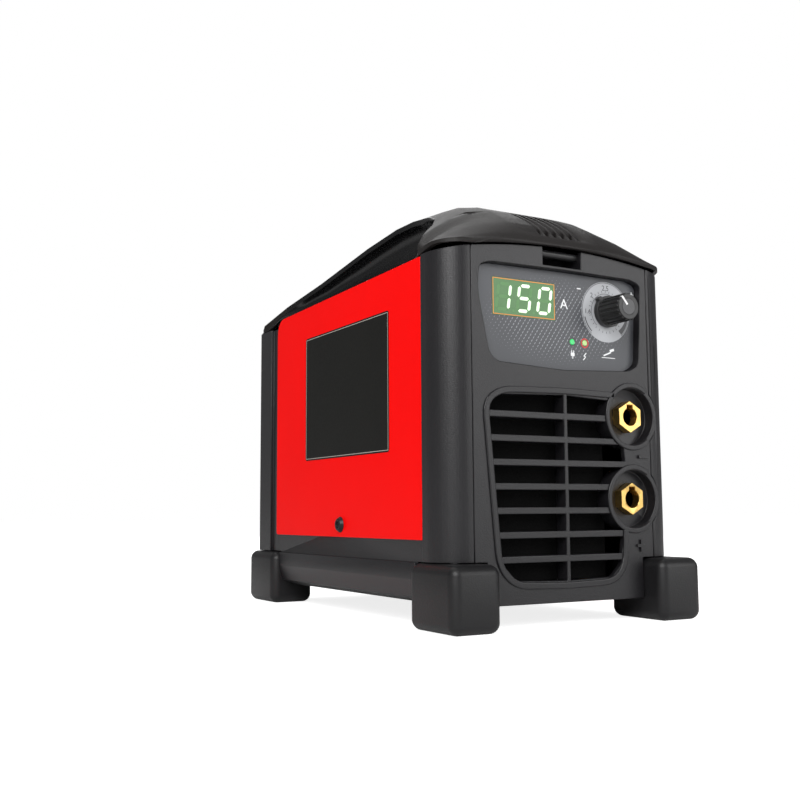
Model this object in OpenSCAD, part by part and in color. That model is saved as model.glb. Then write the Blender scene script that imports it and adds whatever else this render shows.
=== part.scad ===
// Portable stick welding inverter: moulded casing with painted steel sides, control panel,
// two welding sockets, rear fan and the power electronics inside.
// Millimetres. X across, -Y is the front, Z up from the floor.

/* [Casing] */
// Width of the casing over the side panels
body_w = 142; // [140:1:180]
// Length of the casing from the front face to the rear face
body_l = 225; // [190:1:290]
// Height of the casing at the outer ends of the hood lip
casing_h = 182; // [180:1:200]
// Height of the underside above the floor
base_z = 11; // [8:0.5:14]
// Radius of the upright corners
corner_r = 16; // [14:0.5:18]
// Wall thickness of the mouldings
wall = 2.6; // [2:0.1:3.5]
// Thickness of the painted steel side panels
sheet = 1.2; // [0.8:0.1:2]
// Depth of the front corner columns along the side
column_d = 20; // [18:0.5:24]
// Gap left between neighbouring casing parts
seam = 0.3; // [0.2:0.05:0.5]

/* [Hood] */
// Height of the hump above casing_h
hump_rise = 38; // [30:1:46]
// Thickness of the lip over the finger scoops
scoop_lip = 3; // [2:0.5:4]
// Number of blades in the top vent
blade_count = 5; // [3:1:5]
// Distance between the blades
blade_pitch = 5; // [4.5:0.1:5]
// Thickness of a blade
blade_t = 1.5; // [1:0.1:2]

/* [Feet] */
// Width of a foot
foot_w = 27; // [22:1:30]
// Length of a foot
foot_l = 40; // [34:1:46]
// Height of a foot
foot_h = 31; // [26:1:33]
// Reach of a foot beyond the side of the casing
foot_out = 4; // [2:0.5:6]
// Rounding of a foot
foot_r = 5; // [3:0.5:6]

/* [Control panel] */
// Depth of the control recess
recess_d = 4.5; // [3:0.5:6]
// Width of the display window
display_w = 38.3; // [34:0.1:40]
// Height of the display window
display_h = 18.9; // [17:0.1:20]
// Length of the current knob
knob_len = 18; // [14:0.5:22]
// Radius of the knob's skirt
knob_r = 8.2; // [7:0.1:10]
// Radius of the potentiometer shaft
shaft_r = 3; // [2.5:0.1:3.2]
// Radius of the indicator lamps
lamp_r = 1.5; // [1.2:0.1:1.8]

/* [Front grille] */
// Number of slots in the grille
slot_count = 8; // [6:1:9]
// Thickness of a slat's face
slat_t = 3.1; // [2.5:0.1:4]
// Depth of a slat
slat_d = 8; // [5:0.5:10]

/* [Welding sockets] */
// Radius of the plug bore in a socket
socket_bore_r = 4.6; // [4:0.05:5.4]
// Depth of the plug bore
socket_bore_l = 24; // [18:1:26]
// Distance between the two sockets
socket_pitch = 42; // [38:0.5:46]
// Radius of the round recess around a socket
socket_recess_r = 14.6; // [13:0.1:15.5]

/* [Rear panel] */
// Width of the square fan frame
fan_w = 92; // [80:1:92]
// Thickness of the fan frame
fan_t = 25; // [20:1:32]
// Depth of the rear panel inside its bezel
rear_recess = 11; // [8:0.5:14]
// Radius of the cord bore in the gland
gland_bore_r = 4.6; // [4:0.1:5.5]
// Travel of the power rocker, stop to stop
rocker_travel = 18; // [12:1:20]

/* [Hidden] */
$fn = 48;

black = [0.13, 0.13, 0.14];
red = [0.85, 0.03, 0.03];
steel = [0.6, 0.6, 0.62];
brass = [0.8, 0.6, 0.25];
copper = [0.75, 0.42, 0.25];
green_board = [0.05, 0.3, 0.15];

half_w = body_w / 2;
gland_nose = 22.5;
knob_reach = knob_len - recess_d;
gland_reach = gland_nose - rear_recess;
overall_l = knob_reach + body_l + gland_reach;
front_y = knob_reach - overall_l / 2;
rear_y = front_y + body_l;

// Front panel outline
seam_x = half_w - corner_r;
panel_t = 3;
panel_arch = 4.4;
recess_floor_t = 2;
recess_floor_y = front_y + recess_d;
recess_back_y = recess_floor_y + recess_floor_t;
recess_wall = 1.4;
recess_top = casing_h - 7;
recess_shape = [[-50, -2.5], [-51, -15], [-44.8, -44.5], [-40.6, -48.6], [0, -50.6], [42, -48.6],
    [48.6, -45], [51, -2.5], [44, -0.4], [0, 0], [-44, -0.4]];
recess_radii = [4, 40, 8, 8, 60, 12, 6, 3.5, 12, 60, 18];

// Display, lamps and knob on the recess floor
display_x = -21;
display_z = recess_top - 16;
knob_x = 30.8;
knob_z = recess_top - 18.1;
lamp_z = recess_top - 35.3;
power_lamp_x = 8.4;
fault_lamp_x = 16.4;
overlay_t = 0.5;
lens_t = 2.2;
board_gap = 8;
board_y = recess_back_y + board_gap;
board_t = 1.6;

// Grille
grille_z0 = base_z + 11.2;
grille_z1 = recess_top - 50.6 - 13.2;
grille_shape = [[-31, grille_z0], [0, grille_z0 - 0.8], [27, grille_z0], [33.5, grille_z0 + 6],
    [39, grille_z1 - 42], [34, grille_z1 - 1], [0, grille_z1 + 0.6], [-38, grille_z1 - 0.6],
    [-45.8, grille_z1 - 4], [-39, grille_z0 + 8]];
grille_radii = [7, 60, 5, 6, 30, 5, 60, 5, 5, 8];
slot_pitch = (grille_z1 - grille_z0 + slat_t) / slot_count;
grille_rib = 2;

// Sockets
socket_x = 42.6;
socket_z = [grille_z1 - 8.3, grille_z1 - 8.3 - socket_pitch];
socket_recess_d = 6;
socket_wall = 2.4;
socket_hex_r = 8.25;
socket_body_r = 7;
socket_face_y = front_y + 1;
socket_len = 44;
socket_tail_r = 4;
key_w = 4;
key_r = 6.2;

// Strap notch
notch_w = 24;
notch_d = 16;
notch_floor = recess_top + recess_wall;
bar_r = 2;
bar_y = front_y + 5;
bar_z = casing_h + 1.4;

// Side panels
panel_y0 = front_y + column_d + seam;
panel_y1 = rear_y - 28;
panel_z0 = 41.6;
panel_z1 = casing_h - 4;
panel_drop = 3;
panel_corner_r = 9;
panel_flange = 6;
side_screw_y = panel_y0 + 87;
side_screw_z = panel_z0 + 6.7;

// Base
base_side_z = 31;
tray_inset = 1.5;
tray_top = panel_z0 + 16;
tongue_x = half_w + foot_out - foot_w - seam;
foot_front = 13;
foot_rear = 8;
foot_x = half_w + foot_out - foot_w;
front_foot_y = front_y - foot_front;
rear_foot_y = rear_y + foot_rear - foot_l;
boss_h = 6;
floor_z = base_z + tray_inset + wall;

// Rear
bezel_d = 18;
bezel_top = casing_h - 10.9;
neck_inset = 2;
bezel_neck = rear_y - panel_y1 - seam;
rear_panel_t = 3;
rear_panel_y = rear_y - rear_recess - rear_panel_t;
fan_z = foot_h + seam + boss_h + 0.6 + fan_w / 2;
fan_r = fan_w / 2 - 3;
fan_hub_r = 19;
fan_hole = fan_w * 0.45;
switch_x = 34;
gland_x = -34;
rear_top_z = fan_z + fan_w / 2 + 18.5;

// Power switch
switch_w = 25;
switch_h = 32;
switch_flange = 2;
switch_body_w = 21.6;
switch_body_h = 28.6;
switch_body_d = 20;
rocker_w = 15.8;
rocker_l = 23;
rocker_gap = 0.4;
rocker_pin_r = 1.5;
pin_gap = 0.05;

// Cord gland
gland_body_r = 8;
gland_hex_r = 11;

// Inside
crossmember_w = 10;
crossmember_z = panel_z1 - 9;
screw_gap = 0.1;
power_board_z = floor_z + 14;
power_board_y0 = front_y + 46;
power_board_y1 = rear_panel_y - fan_t - 3;
power_board_x = half_w - 13;
power_board_top = power_board_z + board_t;
sink_w = 26;
sink_h = 52;
sink_l = 84;
sink_x = power_board_x - sink_w - 2;
sink_y0 = power_board_y0 + 34;
sink_base = 5;

// ---------- plan and outline helpers ----------

function unit(v) = v / norm(v);
function turn(d) = d > 180 ? d - 360 : d < -180 ? d + 360 : d;
function fillet(p, a, b, r, n) =
    let (u = unit(a - p), v = unit(b - p), half = acos(u * v) / 2)
    let (t = r / tan(half), c = p + unit(u + v) * r / sin(half))
    let (s0 = p + u * t - c, s1 = p + v * t - c)
    let (a0 = atan2(s0[1], s0[0]), d = turn(atan2(s1[1], s1[0]) - a0))
    [for (i = [0:n]) c + r * [cos(a0 + d * i / n), sin(a0 + d * i / n)]];
function rounded(pts, radii, n = 5) =
    let (k = len(pts))
    [for (i = [0:k - 1]) each fillet(pts[i], pts[(i + k - 1) % k], pts[(i + 1) % k], radii[i], n)];
function shift_z(pts, dz) = [for (p = pts) [p[0], p[1] + dz]];

// A flat shape drawn in X and Z, thick along Y from y0
module upright(y0, d) translate([0, y0 + d, 0]) rotate([90, 0, 0]) linear_extrude(d) children();

// A flat shape drawn in Y and Z, thick along X from x0
module sideways(x0, d) translate([x0, 0, 0]) rotate([90, 0, 90]) linear_extrude(d) children();

// A round bar along Y
module rod(x, z, y0, l, r) translate([x, y0, z]) rotate([-90, 0, 0]) cylinder(r = r, h = l);

module block(x0, x1, y0, y1, z0, z1) translate([x0, y0, z0]) cube([x1 - x0, y1 - y0, z1 - z0]);

module mirrored() {
    children();
    mirror([1, 0, 0]) children();
}

// Outline of the lower casing in X and Z, drawn in by an inset
function tray_outline(inset, top) =
    let (w = half_w - inset, z = base_z + inset, c = 12)
    [[-w, top], [-w, base_z + c], [-w + 3, z + 3], [-w + c, z], [w - c, z], [w - 3, z + 3],
     [w, base_z + c], [w, top]];

// ---------- front panel ----------

function lip_z(x) = casing_h - 0.6 + panel_arch * (1 - pow(x / seam_x, 2));
function panel_outline() = concat(
    [[-tongue_x, base_z], [tongue_x, base_z], [tongue_x, foot_h + seam], [seam_x - seam, foot_h + seam]],
    [for (i = [0:12]) let (x = (seam_x - seam) * (1 - i / 6)) [x, lip_z(x)]],
    [[-seam_x + seam, foot_h + seam], [-tongue_x, foot_h + seam]]);

module recess_2d() polygon(shift_z(rounded(recess_shape, recess_radii), recess_top));
module grille_2d() polygon(rounded(grille_shape, grille_radii));
module socket_circles(r) for (z = socket_z) translate([socket_x, z]) circle(r = r);

module slat_bars() {
    for (i = [1:slot_count - 1])
        translate([-half_w, grille_z0 + i * slot_pitch - slat_t]) square([body_w, slat_t]);
    translate([-grille_rib / 2, 0]) square([grille_rib, casing_h]);
}

// Mouth of the notch that the shoulder strap hooks into
module notch_2d() translate([-notch_w / 2, notch_floor]) square([notch_w, casing_h]);

module front_panel() color(black) difference() {
    union() {
        upright(front_y, panel_t) difference() {
            polygon(panel_outline());
            grille_2d();
            notch_2d();
        }
        upright(front_y, slat_d) intersection() {
            grille_2d();
            union() {
                slat_bars();
                socket_circles(socket_recess_r + socket_wall);
            }
        }
        recess_tray();
        upright(front_y, socket_recess_d + socket_wall)
            socket_circles(socket_recess_r + socket_wall);
        notch_walls();
    }
    upright(front_y - 1, recess_d + 1) recess_2d();
    upright(front_y - 1, socket_recess_d + 1) socket_circles(socket_recess_r);
    upright(front_y, slat_d + 2) socket_circles(socket_body_r + screw_gap);
    control_holes(recess_floor_y - 1, recess_floor_t + 2);
    strap_bar_hole(bar_y, bar_z);
}

// A hole across X that a strap bar is pressed into
module strap_bar_hole(y, z) translate([-notch_w / 2 - 1.9, y, z]) rotate([0, 90, 0])
    cylinder(r = bar_r + 0.05, h = notch_w + 3.8);

module recess_tray() intersection() {
    upright(front_y, recess_d + recess_floor_t)
        polygon(shift_z(rounded([for (p = recess_shape) p * 1.028 + [0, 0.66]], recess_radii), recess_top));
    block(-half_w, half_w, front_y, rear_y, base_z, notch_floor);
}

module notch_walls() {
    top = lip_z(notch_w / 2);
    mirrored() block(notch_w / 2, notch_w / 2 + 2, front_y, front_y + notch_d, notch_floor - 2, top);
    block(-notch_w / 2 - 2, notch_w / 2 + 2, front_y + notch_d - 2, front_y + notch_d, notch_floor - 2, top);
    block(-notch_w / 2 - 2, notch_w / 2 + 2, recess_floor_y, front_y + notch_d, notch_floor - 2, notch_floor);
}

// Everything that passes through the recess floor
module control_holes(y, d) {
    block(display_x - display_w / 2, display_x + display_w / 2, y, y + d,
        display_z - display_h / 2, display_z + display_h / 2);
    rod(knob_x, knob_z, y, d, shaft_r + 1.2);
    for (x = [power_lamp_x, fault_lamp_x]) rod(x, lamp_z, y, d, lamp_r + screw_gap);
}

// ---------- casing ----------

module column_plan() {
    difference() {
        translate([-half_w + corner_r, front_y + corner_r]) circle(r = corner_r, $fn = 96);
        translate([-half_w + corner_r, front_y + corner_r]) circle(r = corner_r - wall, $fn = 96);
        translate([-half_w + corner_r, front_y - 1]) square([corner_r + 2, 2 * corner_r + 2]);
        translate([-half_w - 1, front_y + corner_r]) square([2 * corner_r + 2, corner_r + 2]);
    }
    translate([-half_w, front_y + corner_r - 0.01]) square([wall, column_d - corner_r + 0.01]);
    translate([-half_w + 0.01, front_y + column_d - wall]) square([8, wall]);
}

// Plate that closes the foot of a column and takes the foot's screw
module column_floor() {
    intersection() {
        translate([-half_w + corner_r, front_y + corner_r]) circle(r = corner_r - 0.5, $fn = 96);
        translate([-half_w, front_y]) square(corner_r);
    }
    translate([-half_w + 0.5, front_y + corner_r - 0.01]) square([corner_r, column_d - corner_r - 0.5]);
}

// Underside line of the hood over the columns, falling towards the sides
module column() intersection() {
    union() {
        translate([0, 0, foot_h + seam]) linear_extrude(casing_h) column_plan();
        difference() {
            translate([0, 0, foot_h + seam]) linear_extrude(boss_h) column_floor();
            translate([-foot_x - foot_w / 2, front_foot_y + foot_l / 2, foot_h]) cylinder(r = 2.05, h = boss_h + 2);
        }
    }
    upright(front_y - 1, column_d + 2)
        polygon([[-half_w - 1, 0], [-seam_x + corner_r, 0], [-seam_x + corner_r, casing_h - 0.6],
            [-seam_x, casing_h - 0.6], [-half_w - 1, casing_h - 3.4]]);
}

module front_left_column() color(black) column();
module front_right_column() color(black) difference() {
    mirror([1, 0, 0]) column();
    upright(front_y - 1, socket_recess_d + socket_wall + 1 + seam)
        socket_circles(socket_recess_r + socket_wall + seam);
}

module base_tray() color(black) difference() {
    union() {
        upright(panel_y0, panel_y1 - panel_y0) polygon(tray_outline(0, base_side_z));
        upright(panel_y0, panel_y1 - panel_y0) polygon(tray_outline(tray_inset, tray_top));
        block(-tongue_x, tongue_x, front_y + panel_t, panel_y0 + 1, base_z, floor_z);
    }
    upright(panel_y0 - 1, panel_y1 - panel_y0 + 2) polygon(tray_outline(tray_inset + wall, casing_h));
    foot_spaces(0);
    mirrored() screw_across(side_screw_y, side_screw_z, 3);
    for (x = [-1, 1], y = standoff_ys()) translate([x * standoff_x(), y, base_z - 1]) cylinder(r = 1.6, h = 9);
}

// Clearance hole through the side wall
module screw_across(y, z, d) translate([-half_w - 1, y, z]) rotate([0, 90, 0]) cylinder(r = 2 + screw_gap, h = d + 8);

function panel_top(y) = panel_z1 - panel_drop * (y - panel_y0) / (panel_y1 - panel_y0);
module side_outline() polygon(rounded(
    [[panel_y0, panel_z0], [panel_y1, panel_z0], [panel_y1, panel_top(panel_y1)], [panel_y0, panel_z1]],
    [0.5, 2, panel_corner_r, 0.5]));

module side_panel() color(red) difference() {
    union() {
        sideways(-half_w, sheet) side_outline();
        sideways(-half_w, panel_flange) polygon([[panel_y0 + 1, panel_z1 - 0.1],
            [panel_y1 - panel_corner_r, panel_top(panel_y1 - panel_corner_r) - 0.1],
            [panel_y1 - panel_corner_r, panel_top(panel_y1 - panel_corner_r) - sheet],
            [panel_y0 + 1, panel_z1 - sheet]]);
    }
    screw_across(side_screw_y, side_screw_z, 0);
}

module left_side_panel() side_panel();
module right_side_panel() mirror([1, 0, 0]) side_panel();

// One dome-headed screw, pointing along -Z from its seat at the origin
module screw(r, l, head_r, head_h) {
    translate([0, 0, -l]) cylinder(r = r, h = l + 0.01);
    difference() {
        cylinder(r1 = head_r, r2 = head_r * 0.7, h = head_h);
        translate([0, 0, head_h - 1]) cylinder(r = head_r * 0.45, h = 2);
    }
}

module side_panel_screws() color(black) mirrored()
    translate([-half_w, side_screw_y, side_screw_z]) rotate([0, -90, 0]) screw(2, 9, 4.4, 2);

// ---------- cross members tying the sides under the hood ----------

module crossmember(y0) color(steel) difference() {
    span = half_w - sheet - seam;
    union() {
        block(-span, span, y0, y0 + crossmember_w, crossmember_z, crossmember_z + 2);
        mirrored() block(-span, -span + 2, y0, y0 + crossmember_w, crossmember_z - 12, crossmember_z + 2);
        for (p = hood_screws) if (abs(p[1] - y0 - crossmember_w / 2) < 1)
            translate([p[0], p[1], crossmember_z]) cylinder(r = 3.4, h = p[2] - post_drop - crossmember_z);
    }
    for (p = hood_screws) translate([p[0], p[1], crossmember_z - 1]) cylinder(r = 1.7 + screw_gap, h = 60);
}

// Height left between a screw seat and the post under the sloping skin
post_drop = 4.2;
front_member_y = panel_y0 + 1;
rear_member_y = panel_y1 - crossmember_w - 2;
hood_screw_x = 38;
module front_crossmember() crossmember(front_member_y);
module rear_crossmember() crossmember(rear_member_y);

// ---------- hood ----------

// Each table pairs a distance behind the front face with a height above casing_h, or with a
// distance in from the side of the casing
hood_top = [[-2, 5], [0, 8.5], [6, 15], [15, 21], [25, 26.5], [40, 32.5], [55, hump_rise - 1.6],
    [75, hump_rise], [93, hump_rise], [108, hump_rise - 1.4], [133, hump_rise - 7.7],
    [body_l - 47, 17], [body_l - 17, 6.5], [body_l - 9, 2], [body_l - 4, -3], [body_l, -7]];
hood_edge = [[-2, 2], [10, 1.2], [20, -0.2], [22, 2], [26, 8], [35, 14], [42, 20], [53, 27],
    [75, hump_rise - 3.5], [93, hump_rise - 1.2], [108, hump_rise - 2.5], [133, hump_rise - 9],
    [body_l - 47, 15.5], [body_l - 17, 5], [body_l - 6, -6.3], [body_l, -8]];
hood_in = [[20, 0], [22, 0], [26, 5], [35, 13], [42, 21], [53, 29], [75, 38], [93, 39], [108, 36.5],
    [133, 30.5], [body_l - 47, 21], [body_l - 17, 11], [body_l - 12, 6], [body_l - 6, 0], [body_l, 1.5]];
hood_base = [[-2, -0.2], [8, -0.2], [20, -3], [24, -3.7], [body_l - 28, -6.7], [body_l - 15, -10.2],
    [body_l, -10.6]];
scoop_depth = [[23, 0], [34, 5], [75, 7], [133, 7], [body_l - 47, 5], [body_l - 14, 0]];

hood_stations = [-2, -0.6, 0.6, 2.6, 4, 7, 10, 15, 19.6, 22, 24, 26, 30, 35, 42, 46, 53, 64, 75, 93, 108,
    133, 155, body_l - 47, body_l - 30, body_l - 17, body_l - 12, body_l - 9, body_l - 6, body_l - 4,
    body_l - 2.6, body_l - 0.6, body_l];
hollow_s0 = 2.6;
hollow_s1 = body_l - 2.6;

// Depth of the vent valley below the skin, and half its width
vent_depth = [[0.6, 0], [2.6, 3], [7, 7], [15, 8], [26, 8], [35, 6], [46, 0]];
vent_x = blade_pitch * (blade_count - 1) / 2 + 3;
vent_draft = 0.3;

side_n = 6;
skin_n = 6;
function hood_w(s) = s < corner_r - 2
    ? half_w - corner_r + sqrt(pow(corner_r, 2) - pow(corner_r - 2 - s, 2)) * 0.999
    : half_w - lookup(s, hood_in);
function crown(x, w) = let (flat = min(22, w - 8)) 1 - pow(max(0, (abs(x) - flat) / (w - flat)), 1.8);

// Places across the hood, each with 1 where the skin drops to the valley floor
function skin_places(w) = concat(
    [for (i = [0:skin_n]) [-w + (w - vent_x) * (1 - cos(90 * i / skin_n)), 0]],
    [[-vent_x + vent_draft, 1]],
    [for (i = [0:blade_count - 1], e = [[-1, vent_draft, 1], [-1, 0, 0], [1, 0, 0], [1, vent_draft, 1]])
        [(i - (blade_count - 1) / 2) * blade_pitch + e[0] * (blade_t / 2 + e[1]), e[2]]],
    [[vent_x - vent_draft, 1]],
    [for (i = [skin_n:-1:0]) [w - (w - vent_x) * (1 - cos(90 * i / skin_n)), 0]]);

// Section of the hood at distance s, drawn in by t: left foot, over the top, right foot
function hood_path(s, t) =
    let (deep = lookup(s, scoop_depth), w = hood_w(s) - (t > 0 ? t + deep : 0), skin_w = hood_w(s))
    let (top = casing_h + lookup(s, hood_top) - t, edge = min(top - 0.3, casing_h + lookup(s, hood_edge) - t * 0.6))
    let (base = casing_h + lookup(s, hood_base), foot = (s < 20 ? skin_w : half_w - 0.4) - t)
    let (under = max(base + 0.6, edge - scoop_lip), cove = skin_w - deep - t)
    let (p0 = [cove - (t > 0 ? 0.2 : 0), under - 0.5 * min(1, deep)], p1 = [cove - 1, base + 2.5], p2 = [foot, base])
    let (side = [for (i = [0:side_n - 1]) let (k = i / side_n) deep > 0.6
        ? pow(1 - k, 2) * p0 + 2 * k * (1 - k) * p1 + k * k * p2
        : [w, under] + ([foot, base] - [w, under]) * (i + 1) / (side_n + 1)])
    concat(
        [[-foot, base]],
        [for (i = [side_n - 1:-1:0]) [-side[i][0], side[i][1]]],
        [[-w, under]],
        [for (p = skin_places(w)) let (drop = (t > 0 && abs(p[0]) < vent_x ? 1 : p[1]) * lookup(s, vent_depth))
            [p[0], edge + (top - edge) * crown(p[0], skin_w) - drop]],
        [[w, under]],
        side,
        [[foot, base]]);

// Lower edge of the hood where it is solid, point by point under the path above
function hood_foot_line(s) =
    let (path = hood_path(s, 0), n = len(path), w = hood_w(s), foot = path[n - 1][0] - 0.5)
    let (base = path[0][1], arch = s < 18 ? panel_arch : 0, last = side_n + 1)
    [for (j = [0:n - 1]) let (x = j <= last ? -foot + 0.5 * j : j >= n - 1 - last ? foot - 0.5 * (n - 1 - j)
        : path[j][0] * (foot - 0.5 * last - 0.5) / w) [x, base + arch * (1 - pow(x / foot, 2))]];

function hood_ring(s) =
    let (inside = s < hollow_s0 || s > hollow_s1 ? hood_foot_line(s) : hood_path(s, wall), n = len(inside))
    concat([for (p = hood_path(s, 0)) [p[0], front_y + s, p[1]]],
        [for (j = [n - 1:-1:0]) [inside[j][0], front_y + s, inside[j][1]]]);

module hood_shell() {
    rings = [for (s = hood_stations) hood_ring(s)];
    n = len(rings[0]);
    m = len(rings);
    far = (m - 1) * n;
    polyhedron(
        points = [for (r = rings) each r],
        faces = concat(
            [for (i = [0:n / 2 - 2]) each [[i, i + 1, n - 2 - i], [i, n - 2 - i, n - 1 - i]]],
            [for (i = [0:n / 2 - 2]) each [[far + i, far + n - 2 - i, far + i + 1],
                [far + i, far + n - 1 - i, far + n - 2 - i]]],
            [for (j = [0:m - 2], i = [0:n - 1]) let (a = j * n + i, b = j * n + (i + 1) % n)
                each [[a, a + n, b], [b, a + n, b + n]]]));
}

// Top of the skin at a place, and the four screw places on it
function skin_z(x, s) = let (w = hood_w(s), e = lookup(s, hood_edge))
    casing_h + e + (lookup(s, hood_top) - e) * crown(x, w);
hood_screws = [for (x = [-1, 1], y = [front_member_y, rear_member_y])
    [x * hood_screw_x, y + crossmember_w / 2, skin_z(hood_screw_x, y + crossmember_w / 2 - front_y) - 0.8]];

module top_cover() color(black) difference() {
    hood_shell();
    for (p = hood_screws) {
        translate([p[0], p[1], p[2] - 20]) cylinder(r = 1.7 + screw_gap, h = 40);
        translate(p) cylinder(r = 3.3, h = 8);
    }
}

module top_cover_screws() color(steel) for (p = hood_screws)
    translate(p) screw(1.7, p[2] - crossmember_z + 3, 3, 2);

// ---------- strap bars ----------

module front_strap_bar() color(black)
    translate([-notch_w / 2 - 1.9, bar_y, bar_z]) rotate([0, 90, 0]) cylinder(r = bar_r, h = notch_w + 3.8);

rear_bar_z = bezel_top - 10;
rear_bar_y = rear_y - 4;
module rear_strap_bar() color(black)
    translate([-notch_w / 2 - 1.9, rear_bar_y, rear_bar_z]) rotate([0, 90, 0])
        cylinder(r = bar_r, h = notch_w + 3.8);

// ---------- rear ----------

module rear_bezel() color(black) difference() {
    union() {
        difference() {
            union() {
                upright(rear_y - bezel_d, bezel_d) polygon(tray_outline(0, bezel_top));
                upright(panel_y1 + seam, bezel_neck) polygon(tray_outline(neck_inset, bezel_top));
            }
            upright(panel_y1, body_l) polygon(tray_outline(neck_inset + wall, bezel_top - 3));
        }
        intersection() {
            upright(panel_y1 + seam, bezel_neck) polygon(tray_outline(neck_inset, bezel_top));
            foot_spaces(wall);
        }
        mirrored() block(notch_w / 2, notch_w / 2 + 3, rear_panel_y + rear_panel_t, rear_y,
            rear_bar_z - 5, bezel_top - 2);
    }
    foot_spaces(0);
    for (x = [-1, 1]) translate([x * (foot_x + foot_w / 2), rear_foot_y + foot_l / 2, foot_h])
        cylinder(r = 2.05, h = boss_h + 2);
    strap_bar_hole(rear_bar_y, rear_bar_z);
}

// The feet stand in the lower corners of the casing; grow adds a wall around that space
module foot_spaces(grow) for (y = [front_foot_y, rear_foot_y]) mirrored()
    block(tongue_x - grow, half_w + 1, y - seam - grow, y + foot_l + seam + grow, base_z - 1,
        foot_h + seam + (grow > 0 ? boss_h : 0));

function rear_panel_outline() = tray_outline(neck_inset + wall + seam, bezel_top - 3 - seam);
function rear_screws() = [for (x = [-1, 1], z = [floor_z + 32, bezel_top - 10]) [x * (half_w - 12), z]];

module fan_slots() intersection() {
    translate([0, fan_z]) circle(r = fan_r - 1);
    union() {
        for (i = [-5:5]) translate([-fan_r, fan_z + i * 7.8 - 2.5]) square([fan_r - 1.5, 5]);
        for (i = [-5:5]) translate([1.5, fan_z + i * 7.8 - 2.5]) square([fan_r, 5]);
    }
}

module rear_panel() color(black) difference() {
    upright(rear_panel_y, rear_panel_t) difference() {
        polygon(rear_panel_outline());
        fan_slots();
    }
    foot_spaces(wall + seam);
    block(switch_x - switch_body_w / 2 - screw_gap, switch_x + switch_body_w / 2 + screw_gap,
        rear_panel_y - 1, rear_y, rear_top_z - switch_body_h / 2 - screw_gap,
        rear_top_z + switch_body_h / 2 + screw_gap);
    rod(gland_x, rear_top_z, rear_panel_y - 1, 10, gland_body_r + screw_gap);
    for (x = [-1, 1], z = [-1, 1])
        rod(x * fan_hole, fan_z + z * fan_hole, rear_panel_y - 1, 10, 2 + screw_gap);
    for (p = rear_screws()) rod(p[0], p[1], rear_panel_y - 1, 10, 1.8 + screw_gap);
}

module rear_screw(x, z, l, r) translate([x, rear_panel_y + rear_panel_t, z]) rotate([-90, 0, 0])
    screw(r, l, r * 2, 1.8);

module rear_panel_screws() color(steel) for (p = rear_screws()) rear_screw(p[0], p[1], 12, 1.8);

// ---------- feet ----------

module foot(x0, y0) color(black) difference() {
    hull() for (x = [foot_r, foot_w - foot_r], y = [foot_r, foot_l - foot_r], z = [foot_r, foot_h - foot_r])
        translate([x0 + x, y0 + y, z]) sphere(r = foot_r, $fn = 32);
    translate([x0 + foot_w / 2, y0 + foot_l / 2, -1]) cylinder(r = 4.2, h = 7);
    translate([x0 + foot_w / 2, y0 + foot_l / 2, -1]) cylinder(r = 2.2, h = foot_h + 2);
}

module front_left_foot() foot(-foot_x - foot_w, front_foot_y);
module front_right_foot() foot(foot_x, front_foot_y);
module rear_left_foot() foot(-foot_x - foot_w, rear_foot_y);
module rear_right_foot() foot(foot_x, rear_foot_y);

module foot_screws() color(steel) for (x = [-1, 1], y = [front_foot_y, rear_foot_y])
    translate([x * (foot_x + foot_w / 2), y + foot_l / 2, 6]) mirror([0, 0, 1]) {
        translate([0, 0, -foot_h - seam - boss_h + 7]) cylinder(r = 2, h = foot_h + seam + boss_h - 6.99);
        cylinder(r = 4, h = 3);
    }

// ---------- controls ----------

module control_overlay() color([0.36, 0.37, 0.4]) difference() {
    upright(recess_floor_y - overlay_t, overlay_t)
        polygon(shift_z(rounded([for (p = recess_shape) p * 0.99 + [0, -0.25]], recess_radii), recess_top));
    control_holes(recess_floor_y - 2, 4);
}

module display_lens() color([0.3, 0.5, 0.35]) block(display_x - display_w / 2 + 0.15,
    display_x + display_w / 2 - 0.15, recess_floor_y - overlay_t, recess_floor_y - overlay_t + lens_t,
    display_z - display_h / 2 + 0.15, display_z + display_h / 2 - 0.15);

module display_module() color([0.15, 0.3, 0.18]) block(display_x - display_w / 2 + 0.3,
    display_x + display_w / 2 - 0.3, recess_floor_y - overlay_t + lens_t, board_y,
    display_z - display_h / 2 + 0.3, display_z + display_h / 2 - 0.3);

module lamp(x) {
    rod(x, lamp_z, recess_floor_y - overlay_t - 0.3, board_y - recess_floor_y + overlay_t + 0.3, lamp_r);
    rod(x, lamp_z, recess_back_y, 1, lamp_r + 0.4);
}
module power_lamp() color([0.3, 0.9, 0.5]) lamp(power_lamp_x);
module fault_lamp() color([0.9, 0.4, 0.3]) lamp(fault_lamp_x);

knob_base_y = recess_floor_y - overlay_t - 0.5;
knob_tip_y = recess_floor_y - knob_len;
knob_skirt = 3;
knob_ribs = 18;
cap_r = 4.1;
cap_d = 1.4;

module knob_at(y) translate([knob_x, y, knob_z]) rotate([90, 0, 0]) children();

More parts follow.
